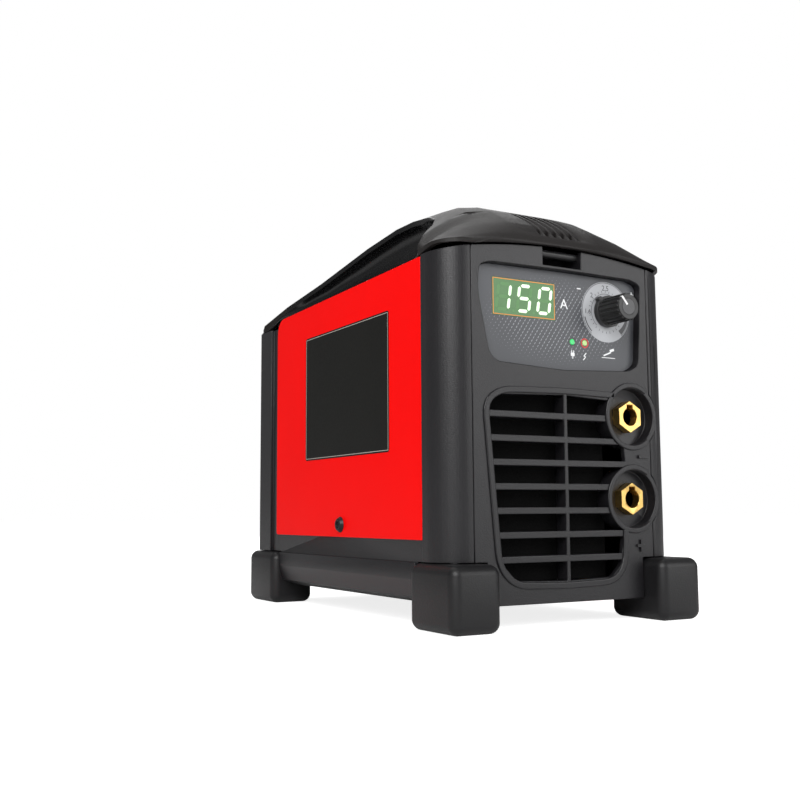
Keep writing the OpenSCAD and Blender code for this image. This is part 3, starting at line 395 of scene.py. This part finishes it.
dash_sizes = {"Width": 0.120, "Height": 0.120, "Columns": 62, "Rows": 56, "Dash Length": 0.0012,
              "Dash Width": 0.00036, "Dash Height": 0.00006, "Fade Half Width": 0.052,
              "Fade Half Height": 0.0245}
dashes, given, final = recipe("rows_of_dashes", **dash_sizes)
grid = dashes.nodes.new("GeometryNodeMeshGrid")
slant = dashes.nodes.new("GeometryNodeTransform")
slant.inputs["Rotation"].default_value = (0, 0, math.radians(56))
dash = dashes.nodes.new("GeometryNodeMeshCube")
dash_size = dashes.nodes.new("ShaderNodeCombineXYZ")
spread = dashes.nodes.new("GeometryNodeInstanceOnPoints")
spot = dashes.nodes.new("GeometryNodeInputPosition")
reach = dashes.nodes.new("ShaderNodeCombineXYZ")
share = dashes.nodes.new("ShaderNodeVectorMath")
share.operation = "DIVIDE"
away = dashes.nodes.new("ShaderNodeVectorMath")
away.operation = "LENGTH"
fade = dashes.nodes.new("ShaderNodeMapRange")
for socket, value in (("From Min", 0.55), ("From Max", 1.0), ("To Min", 1.0), ("To Max", 0.0)):
    fade.inputs[socket].default_value = value
seen = dashes.nodes.new("FunctionNodeCompare")
seen.operation = "GREATER_THAN"
seen.inputs[1].default_value = 0.05
solid = dashes.nodes.new("GeometryNodeRealizeInstances")
inked = dashes.nodes.new("GeometryNodeSetMaterial")
reach.inputs["Z"].default_value = 1
spread.inputs["Rotation"].default_value = (0, 0, math.radians(56))
wire(dashes,
     (given.outputs["Width"], grid.inputs["Size X"]), (given.outputs["Height"], grid.inputs["Size Y"]),
     (given.outputs["Columns"], grid.inputs["Vertices X"]), (given.outputs["Rows"],
                                                             grid.inputs["Vertices Y"]),
     (grid.outputs["Mesh"], slant.inputs["Geometry"]), (slant.outputs["Geometry"], spread.inputs["Points"]),
     (given.outputs["Dash Length"], dash_size.inputs["X"]), (given.outputs["Dash Width"],
                                                             dash_size.inputs["Y"]),
     (given.outputs["Dash Height"], dash_size.inputs["Z"]), (dash_size.outputs["Vector"],
                                                             dash.inputs["Size"]),
     (dash.outputs["Mesh"], spread.inputs["Instance"]),
     (given.outputs["Fade Half Width"], reach.inputs["X"]), (given.outputs["Fade Half Height"],
                                                             reach.inputs["Y"]),
     (spot.outputs["Position"], share.inputs[0]), (reach.outputs["Vector"], share.inputs[1]),
     (share.outputs["Vector"], away.inputs[0]), (away.outputs["Value"], fade.inputs["Value"]),
     (fade.outputs["Result"], spread.inputs["Scale"]), (fade.outputs["Result"], seen.inputs[0]),
     (seen.outputs["Result"], spread.inputs["Selection"]), (spread.outputs["Instances"],
                                                            solid.inputs["Geometry"]),
     (solid.outputs["Geometry"], inked.inputs["Geometry"]), (inked.outputs["Geometry"],
                                                             final.inputs["Geometry"]))
stand_up = Matrix.Rotation(math.radians(90), 4, "X")
grown("overlay_dashes", dashes, dash_sizes, ink_pale,
      Matrix.Translation((0, film_y / 1000, 0.1497)) @ stand_up, "casing")


def line(x0, z0, x1, z1, w):
    dx, dz = x1 - x0, z1 - z0
    n = math.hypot(dx, dz) or 1
    ox, oz = -dz / n * w / 2, dx / n * w / 2
    return [(x0 + ox, z0 + oz), (x0 - ox, z0 - oz), (x1 - ox, z1 - oz), (x1 + ox, z1 + oz)]


def arc(cx, cz, r0, r1, start, end, n=24, swell=0.0):
    """Quads round a centre; angles run clockwise from the top, and swell widens the far end."""
    quads = []
    for i in range(n):
        t0, t1 = (math.radians(start + (end - start) * k / n) for k in (i, i + 1))
        g0, g1 = swell * i / n, swell * (i + 1) / n
        quads.append([(cx + r * math.sin(t), cz + r * math.cos(t)) for r, t in
                      ((r0 - g0, t0), (r1, t0), (r1, t1), (r0 - g1, t1))])
    return quads


def lettering(name, words, front, material, body="casing"):
    """Numbers or a unit letter, each (text, centre x, centre z, height), as raised ink."""
    work = bmesh.new()
    for text, x, z, height in words:
        curve = bpy.data.curves.new(name + "_ink", "FONT")
        curve.body = text
        curve.align_x, curve.align_y = "CENTER", "CENTER"
        curve.size = height / 1000 / 0.7
        curve.extrude = 0.00004
        curve.resolution_u = 3
        holder = bpy.data.objects.new(name + "_ink", curve)
        bpy.context.scene.collection.objects.link(holder)
        bpy.context.view_layer.update()
        mesh = bpy.data.meshes.new_from_object(holder.evaluated_get(bpy.context.evaluated_depsgraph_get()))
        bpy.data.objects.remove(holder)
        mesh.transform(Matrix.Translation((x / 1000, front / 1000, z / 1000)) @ stand_up)
        work.from_mesh(mesh)
        bpy.data.meshes.remove(mesh)
    bmesh.ops.remove_doubles(work, verts=work.verts, dist=1e-7)
    mesh = bpy.data.meshes.new(name)
    work.to_mesh(mesh)
    work.free()
    mesh.materials.clear()
    mesh.materials.append(material)
    piece = bpy.data.objects.new(name, mesh)
    bpy.context.scene.collection.objects.link(piece)
    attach(piece, body)
    return piece


lettering("ampere_letter", [("A", 3.6, 158.4, 5.0)], film_y - 0.08, ink_white)
plug_sign = [line(8.5, 131.2, 8.5, 132.6, 0.5), rounded_box(7.3, 9.7, 132.4, 134.3, 0.5),
             line(7.9, 134.2, 7.9, 135.4, 0.45),
             line(9.1, 134.2, 9.1, 135.4, 0.45)]
fault_sign = [line(15.2, 130.9, 16.9, 132.7, 0.5), line(16.9, 132.7, 15.6, 132.9, 0.5),
              line(15.6, 132.9, 17.2, 134.6, 0.5)]
rod_sign = [line(28.6, 134.1, 33.6, 136.1, 0.75), line(32.8, 136.7, 35.6, 137.6, 1.3),
            line(27.4, 133.1, 36.2, 133.1, 0.35)]
prism("overlay_symbols", plug_sign + fault_sign + rod_sign + [line(12.2, 167.5, 14.6, 167.5, 0.6),
      line(47.2, 167.8, 49.8, 167.8, 0.6), line(48.5, 166.5, 48.5, 167.5, 0.6), line(48.5, 168.1, 48.5,
                                                                                     169.1, 0.6)],
      film_y - 0.09, film_y + 0.02, ink_white)

# ---------------------------------------------------------------- dial
# The dial is printed on the film round the knob: a pale disc with a fine dark rim, graduations, the rod
# diameters in millimetres, and a band that widens as the current rises.

dial_x, dial_z = 30.8, 156.9
dial_grey = moulded("dial_grey_ink", (0.40, 0.41, 0.43), 0.45, 1500, 0.06, 0.05)
prism("dial_disc", arc(dial_x, dial_z, 7.0, 15.8, 0, 360, 64), film_y - 0.10, film_y + 0.02, dial_grey)
prism("dial_bands", arc(dial_x, dial_z, 15.2, 15.5, -140, 140, 48) + arc(dial_x, dial_z, 9.4, 9.65, -140,
                                                                         140, 48)
      + arc(dial_x, dial_z, 14.4, 14.9, 68, 138, 20, swell=2.2) + arc(dial_x, dial_z, 14.0, 14.6, -138,
                                                                      -104, 10),
      film_y - 0.13, film_y - 0.06, ink_dark)
lettering("dial_numbers", [("2.5", dial_x, dial_z + 12.4, 2.7), ("3.2", dial_x + 9.6, dial_z + 7.6, 2.7),
                           ("2", dial_x - 9.2, dial_z + 8.0, 2.5), ("1.6", dial_x - 12.0, dial_z - 0.6,
                                                                    2.4)],
          film_y - 0.12, ink_dark)
tick_sizes = {"Count": 28, "Radius": 0.0107, "Tick Length": 0.0011, "Tick Width": 0.00025,
              "Tick Height": 0.00006}
ticks, given, final = recipe("ring_of_ticks", **tick_sizes)
ring = ticks.nodes.new("GeometryNodeMeshCircle")
tick = ticks.nodes.new("GeometryNodeMeshCube")
tick_size = ticks.nodes.new("ShaderNodeCombineXYZ")
spread = ticks.nodes.new("GeometryNodeInstanceOnPoints")
outward = ticks.nodes.new("FunctionNodeAlignRotationToVector")
outward.axis = "X"
outward.pivot_axis = "Z"
spot = ticks.nodes.new("GeometryNodeInputPosition")
solid = ticks.nodes.new("GeometryNodeRealizeInstances")
inked = ticks.nodes.new("GeometryNodeSetMaterial")
wire(ticks,
     (given.outputs["Count"], ring.inputs["Vertices"]), (given.outputs["Radius"], ring.inputs["Radius"]),
     (given.outputs["Tick Length"], tick_size.inputs["X"]), (given.outputs["Tick Width"],
                                                             tick_size.inputs["Y"]),
     (given.outputs["Tick Height"], tick_size.inputs["Z"]), (tick_size.outputs["Vector"],
                                                             tick.inputs["Size"]),
     (ring.outputs["Mesh"], spread.inputs["Points"]), (tick.outputs["Mesh"], spread.inputs["Instance"]),
     (spot.outputs["Position"], outward.inputs["Vector"]), (outward.outputs["Rotation"],
                                                            spread.inputs["Rotation"]),
     (spread.outputs["Instances"], solid.inputs["Geometry"]), (solid.outputs["Geometry"],
                                                               inked.inputs["Geometry"]),
     (inked.outputs["Geometry"], final.inputs["Geometry"]))
grown("dial_ticks", ticks, tick_sizes, ink_dark,
      Matrix.Translation((dial_x / 1000, (film_y - 0.12) / 1000,
                          dial_z / 1000)) @ stand_up, "casing")

# ---------------------------------------------------------------- digit display
# Behind the flush window is a three digit module. Its field is tinted green, its lit segments are a pale
# green-white, the unlit ones show faintly, and a thin amber line edges the window.

window_low, window_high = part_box("display_lens")
field_green = moulded("display_field", (0.055, 0.15, 0.045), 0.3, 300, 0.02, 0.05,
                      Emission_Color=(0.05, 0.2, 0.04, 1),
                      Emission_Strength=0.15)
slotted(eased("display_lens", field_green, 0))
digit_green = moulded("display_module_plastic", (0.10, 0.2, 0.04), 0.5)
slotted(eased("display_module", digit_green, 0.2))
window_y = min(window_low[1] * 1000, film_y)
wx0, wx1, wz0, wz1 = (v * 1000 for v in (window_low[0], window_high[0], window_low[2], window_high[2]))
amber = moulded("amber_edge", (0.75, 0.22, 0.03), 0.4, 500, 0.02, 0.05)
lit = moulded("lit_segments", (0.70, 0.95, 0.66), 0.35, 300, 0.02, 0.02, Emission_Color=(0.8, 1.0, 0.6, 1),
              Emission_Strength=0.35)
unlit = moulded("unlit_segments", (0.085, 0.22, 0.07), 0.4, 300, 0.02, 0.02)
prism("window_field", [rounded_box(wx0, wx1, wz0, wz1, 0.5)], window_y - 0.05, window_y + 0.02, field_green)
prism("window_edge", frame_strips(wx0 + 0.3, wx1 - 0.3, wz0 + 0.3, wz1 - 0.3, 0.35), window_y - 0.09,
      window_y + 0.02, amber)
shapes = {"a": (0, 6.3, 0), "g": (0, 0, 0), "d": (0, -6.3, 0), "f": (-3.5, 3.2, 1), "b": (3.5, 3.2, 1),
          "e": (-3.5, -3.2, 1), "c": (3.5, -3.2, 1)}


def segment(cx, cz, mark):
    x, z, upright = shapes[mark]
    half, thick = (2.7, 0.85) if not upright else (2.65, 0.85)
    ring = [(-half - 0.1, 0), (-half + 0.7, thick), (half - 0.7, thick), (half + 0.1, 0),
            (half - 0.7, -thick),
            (-half + 0.7, -thick)]
    if upright:
        ring = [(b, a) for a, b in ring]
    return [(cx + x + a + (z + b) * 0.15, cz + z + b) for a, b in ring]


window_x, window_z = (wx0 + wx1) / 2, (wz0 + wz1) / 2
on, off = [], []
for place, marks in zip((-12.4, 0, 12.4), ("bc", "afgcd", "abcdef")):
    for mark in shapes:
        (on if mark in marks else off).append(segment(window_x + place, window_z, mark))
prism("lit_digits", on, window_y - 0.09, window_y + 0.02, lit)
prism("unlit_digits", off + [rounded_box(window_x + p + 5.0, window_x + p + 6.4, window_z - 7.3,
                                         window_z - 5.9, 0.65)
                            for p in (-12.4, 0,
                                      12.4)], window_y - 0.07, window_y + 0.02, unlit)

# ---------------------------------------------------------------- lamps
# Two 3 mm domes stand through the film: a green one for power and a paler one, ringed in red, for a fault.

lamp_green = moulded("green_lamp", (0.03, 0.50, 0.13), 0.15, 300, 0.02, 0.04,
                     Emission_Color=(0.02, 0.6, 0.12, 1),
                     Emission_Strength=0.25)
lamp_pale = moulded("pale_lamp", (0.42, 0.62, 0.22), 0.15, 300, 0.02, 0.04)
slotted(eased("power_lamp", lamp_green, 0.3))
slotted(eased("fault_lamp", lamp_pale, 0.3))
ring_red = moulded("red_ring_ink", (0.55, 0.03, 0.02), 0.45, 800, 0.02, 0.04)
prism("fault_ring", arc(16.4, 139.6, 1.9, 2.5, 0, 360, 28), film_y - 0.08, film_y + 0.02, ring_red)
prism("power_ring", arc(8.4, 139.8, 1.9, 2.4, 0, 360, 28), film_y - 0.08, film_y + 0.02, ink_dark)

# ---------------------------------------------------------------- knob
# The knob is a ribbed black phenolic moulding pushed on a 6 mm spindle, with a pressed-in grey cap. A white
# pointer line runs from the middle of its face to its upper left edge.


def pointed(name, colour, rough):
    """A moulded finish with a white pointer line from the spindle outwards, up and to the left."""
    material = moulded(name, colour, rough, 1500, 0.2, 0.08)
    tree = material.node_tree
    shader = next(n for n in tree.nodes if n.type == "BSDF_PRINCIPLED")
    plain = shader.inputs["Base Color"].links[0].from_socket
    where = next(n for n in tree.nodes if n.type == "TEX_COORD").outputs["Object"]
    turned = tree.nodes.new("ShaderNodeMapping")
    turned.vector_type = "TEXTURE"
    turned.inputs["Location"].default_value = (dial_x / 1000, 0, dial_z / 1000)
    turned.inputs["Rotation"].default_value = (0, math.radians(-40), 0)
    parts = tree.nodes.new("ShaderNodeSeparateXYZ")
    wire(tree, (where, turned.inputs["Vector"]), (turned.outputs["Vector"], parts.inputs["Vector"]))

    def test(kind, a, b):
        node = tree.nodes.new("ShaderNodeMath")
        node.operation = kind
        for socket, value in zip(node.inputs, (a, b)):
            if isinstance(value, float):
                socket.default_value = value
            elif value is not None:
                tree.links.new(value, socket)
        return node.outputs["Value"]

    narrow = test("LESS_THAN", test("ABSOLUTE", parts.outputs["X"], None), 0.00055)
    above = test("GREATER_THAN", parts.outputs["Z"], 0.0012)
    ahead = test("LESS_THAN", parts.outputs["Y"], -0.1235)
    mix = tree.nodes.new("ShaderNodeMix")
    mix.data_type = "RGBA"
    colour_inputs = [s for s in mix.inputs if s.type == "RGBA"]
    colour_inputs[1].default_value = (0.8, 0.8, 0.8, 1)
    wire(tree, (test("MULTIPLY", test("MULTIPLY", narrow, above), ahead), mix.inputs["Factor"]),
         (plain, colour_inputs[0]))
    tree.links.new(next(s for s in mix.outputs if s.type == "RGBA"), shader.inputs["Base Color"])
    return material


knob_black = pointed("ribbed_black_phenolic", (0.014, 0.014, 0.0145), 0.38)
cap_grey = pointed("grey_knob_cap", (0.035, 0.035, 0.038), 0.3)
slotted(eased("current_knob", knob_black, 0.2, body="knob"))
slotted(eased("knob_cap", cap_grey, 0, body="knob"))
turned_alloy = moulded("turned_aluminium", (0.70, 0.71, 0.73), 0.32, 900, 0.2, 0.05, stretch=(1, 20, 1),
                       Metallic=1.0)
slotted(eased("potentiometer_shaft", turned_alloy, 0, body="knob"))

# ---------------------------------------------------------------- welding sockets
# Each socket is a turned and hexagonal brass body clamped through the panel, open for a 9 mm plug with its
# key at the top. The polarity signs are moulded proud of the panel beside them.

turned_brass = moulded("machined_brass", (0.80, 0.53, 0.17), 0.30, 1100, 0.25, 0.1, stretch=(1, 12, 1),
                       Metallic=1.0)
for node in ("negative_socket", "positive_socket"):
    slotted(eased(node, turned_brass, 0.25))
prism("minus_sign", [rounded_box(46.0, 53.0, 81.5, 83.3, 0.5)], front_y - 1.1, front_y + 0.6,
      black_grain)
prism("plus_sign", [rounded_box(43.3, 49.3, 36.6, 38.0, 0.5), rounded_box(45.6, 47.0, 34.3, 36.7, 0.3),
                    rounded_box(45.6, 47.0, 37.9, 40.3,
                                0.3)], front_y - 1.1, front_y + 0.6, black_grain)
slotted(eased("socket_nuts", zinc, 0.2))
bare_copper = moulded("bare_copper", (0.66, 0.30, 0.17), 0.35, 900, 0.15, 0.12, Metallic=1.0)
for node in ("negative_busbar", "positive_busbar"):
    slotted(eased(node, bare_copper, 0.3))

# ---------------------------------------------------------------- mains switch and cord gland
# At the rear a red two-position rocker sits in a black nylon housing that snaps into the panel, and a
# ribbed nylon gland with its lock nut grips the mains cord.

nylon = moulded("black_nylon", (0.022, 0.022, 0.023), 0.42, 1300, 0.25, 0.08)
rocker_red = moulded("glossy_red_rocker", (0.52, 0.012, 0.012), 0.22, 400, 0.03, 0.04)
slotted(eased("power_switch_housing", nylon, 0.3))
slotted(eased("power_switch_rocker", rocker_red, 0.4, body="rocker"))
for node in ("cord_gland", "gland_nut"):
    slotted(eased(node, nylon, 0.3))

# ---------------------------------------------------------------- fan
# A 92 mm axial fan in black glass-filled polymer hangs on the rear panel and blows through its slots.

fan_black = moulded("fan_black_polymer", (0.018, 0.018, 0.019), 0.45, 1000, 0.2, 0.1)
slotted(eased("fan_frame", fan_black, 0.3))
slotted(eased("fan_rotor", fan_black, 0, body="fan"))

# ---------------------------------------------------------------- inner frame and power stage
# Inside are the plated crossmembers, the boards, the finned heat sinks and the wound parts. They show only
# through the grille, so each keeps its CAD shape under the finish of its own material.

solder_mask = moulded("green_solder_mask", (0.012, 0.12, 0.045), 0.3, 600, 0.1, 0.2)
extruded = moulded("extruded_aluminium", (0.66, 0.67, 0.69), 0.38, 700, 0.2, 0.06, stretch=(1, 0.1, 1),
                   Metallic=1.0)
epoxy = moulded("black_epoxy", (0.016, 0.016, 0.017), 0.45, 1200, 0.2, 0.1)
sleeve = moulded("blue_capacitor_sleeve", (0.015, 0.03, 0.14), 0.25, 400, 0.05, 0.1)
ferrite = moulded("grey_ferrite", (0.06, 0.06, 0.065), 0.55, 900, 0.3, 0.15)
tape = moulded("yellow_winding_tape", (0.55, 0.42, 0.08), 0.5, 500, 0.15, 0.15, stretch=(1, 1, 6))
relay_blue = moulded("blue_relay_case", (0.03, 0.09, 0.32), 0.3, 400, 0.05, 0.05)
grey_pvc = moulded("grey_ribbon_pvc", (0.30, 0.30, 0.32), 0.5, 700, 0.1, 0.08)
inside = {
    zinc: ("front_crossmember", "rear_crossmember", "potentiometer"),
    solder_mask: ("control_board", "power_board", "driver_card"),
    turned_brass: ("control_board_spacers", "board_standoffs"),
    extruded: ("primary_heat_sink", "secondary_heat_sink"),
    epoxy: ("switching_transistors", "output_diodes", "bridge_rectifier"),
    sleeve: ("bulk_capacitors",), ferrite: ("transformer_core", "inductor_core"),
    tape: ("transformer_winding",), bare_copper: ("inductor_winding", "filter_choke"),
    relay_blue: ("soft_start_relay",), grey_pvc: ("ribbon_cable",)}
for material, nodes in inside.items():
    for node in nodes:
        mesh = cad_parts[node].data
        mesh.materials.clear()
        mesh.materials.append(material)

# ---------------------------------------------------------------- floor, light and camera
# A pale seamless floor, a large soft key from the upper left, a fill from the right and one camera low on
# the left front corner, looking slightly upwards.


def seen_share(tree, share):
    """The share that the camera sees, straight or through glass; other rays get nothing from it."""
    path = tree.nodes.new("ShaderNodeLightPath")
    add = tree.nodes.new("ShaderNodeMath")
    add.operation = "MAXIMUM"
    wire(tree, (path.outputs["Is Camera Ray"], add.inputs[0]),
         (path.outputs["Is Transmission Ray"], add.inputs[1]))
    part = tree.nodes.new("ShaderNodeMath")
    part.operation = "MULTIPLY"
    part.inputs[1].default_value = share
    tree.links.new(add.outputs[0], part.inputs[0])
    return part.outputs[0]


bpy.ops.mesh.primitive_plane_add(size=14)
floor = bpy.context.object
floor.name = "floor"
floor_white = bpy.data.materials.new("floor_white")
floor_white.use_nodes = True
tree = floor_white.node_tree
tree.nodes.clear()
matt = tree.nodes.new("ShaderNodeBsdfDiffuse")
matt.inputs["Color"].default_value = (0.88, 0.88, 0.88, 1)
glow = tree.nodes.new("ShaderNodeEmission")
glow.inputs["Color"].default_value = (1, 1, 1, 1)
both = tree.nodes.new("ShaderNodeAddShader")
wire(tree, (seen_share(tree, 0.82), glow.inputs["Strength"]), (matt.outputs[0], both.inputs[0]),
     (glow.outputs[0], both.inputs[1]), (both.outputs[0],
                                         tree.nodes.new("ShaderNodeOutputMaterial").inputs[0]))
floor.data.materials.append(floor_white)

world = bpy.data.worlds.new("studio")
bpy.context.scene.world = world
world.use_nodes = True
tree = world.node_tree
tree.nodes.clear()
ambient = tree.nodes.new("ShaderNodeBackground")
ambient.inputs["Strength"].default_value = 0.3
backdrop = tree.nodes.new("ShaderNodeBackground")
backdrop.inputs["Color"].default_value = (1, 1, 1, 1)
both = tree.nodes.new("ShaderNodeMixShader")
wire(tree, (seen_share(tree, 1.0), both.inputs[0]), (ambient.outputs[0], both.inputs[1]),
     (backdrop.outputs[0], both.inputs[2]), (both.outputs[0],
                                             tree.nodes.new("ShaderNodeOutputWorld").inputs[0]))

for name, place, size, watts in (("key", (-1.0, -1.1, 1.0), 1.1, 25), ("fill", (0.9, -1.3, 0.6), 1.0, 9),
                                 ("top", (0.1, 0.4, 1.5), 1.2, 6), ("back", (0.7, 1.3, 0.9), 1.0, 6)):
    lamp = bpy.data.lights.new(name, "AREA")
    lamp.size, lamp.energy = size, watts
    holder = bpy.data.objects.new(name, lamp)
    bpy.context.scene.collection.objects.link(holder)
    holder.location = place
    holder.rotation_euler = (Vector((0, 0, 0.1)) - Vector(place)).to_track_quat("-Z", "Y").to_euler()

lens = bpy.data.cameras.new("camera")
lens.lens, lens.sensor_width, lens.clip_start = 46.42, 36, 0.01
camera = bpy.data.objects.new("camera", lens)
bpy.context.scene.collection.objects.link(camera)
yaw, pitch, roll = (math.radians(a) for a in (29.425, 6.186, -0.342))
ahead = Vector((math.sin(yaw) * math.cos(pitch), math.cos(yaw) * math.cos(pitch), math.sin(pitch)))
level = Vector((math.cos(yaw), -math.sin(yaw), 0))
over = level.cross(ahead)
right = level * math.cos(roll) + over * math.sin(roll)
up = over * math.cos(roll) - level * math.sin(roll)
camera.matrix_world = Matrix.Translation((-0.32003, -0.51263, 0.05501)) @ Matrix(
    (right, up, -ahead)).transposed().to_4x4()
bpy.context.scene.camera = camera
bpy.context.scene.view_settings.view_transform = "Standard"
